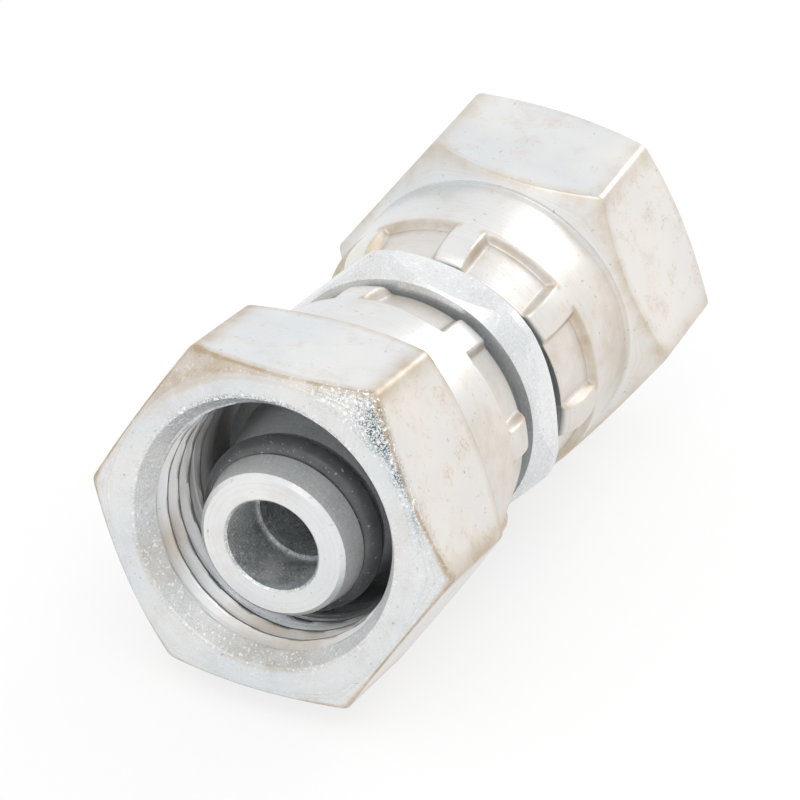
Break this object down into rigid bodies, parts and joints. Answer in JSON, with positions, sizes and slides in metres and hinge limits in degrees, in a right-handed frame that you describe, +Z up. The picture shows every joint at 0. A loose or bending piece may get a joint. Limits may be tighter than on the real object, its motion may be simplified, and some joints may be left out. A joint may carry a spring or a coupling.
{
  "type": "straight hydraulic adapter",
  "caption": "Straight hydraulic adapter: turned body with a 24 degree sealing cone and rubber ring at each end, held in loose crimped swivel nuts with female threads.",
  "frame": {"origin": "middle of the adapter body, on the axis of its flow bore", "axes": "+X along the flow bore from the front nut to the rear nut, +Z up out of the top flat of the front nut, apart from that nut's tilt, +Y to the side"},
  "size_m": [0.0479, 0.0252, 0.0237],
  "materials": {
    "plated_steel": "bright zinc plating over turned steel",
    "seal_rubber": "smooth moulded rubber, soft sheen"
  },
  "bodies": {
    "adapter": {"adapter_body": "plated_steel", "front_o_ring": "seal_rubber", "rear_o_ring": "seal_rubber"},
    "front_nut": {"front_swivel_nut": "plated_steel"},
    "rear_nut": {"rear_swivel_nut": "plated_steel"}
  },
  "joints": [
    {"name": "front_nut_spin", "type": "hinge", "parent": "adapter", "child": "front_nut", "pos_m": [-0.02295, 0, 0.00163], "axis": [0.9931, 0, -0.1172], "continuous": true},
    {"name": "rear_nut_spin", "type": "hinge", "parent": "adapter", "child": "rear_nut", "pos_m": [0.02295, 0, 0.00091], "axis": [0.9973, 0, 0.0734], "continuous": true}
  ]
}
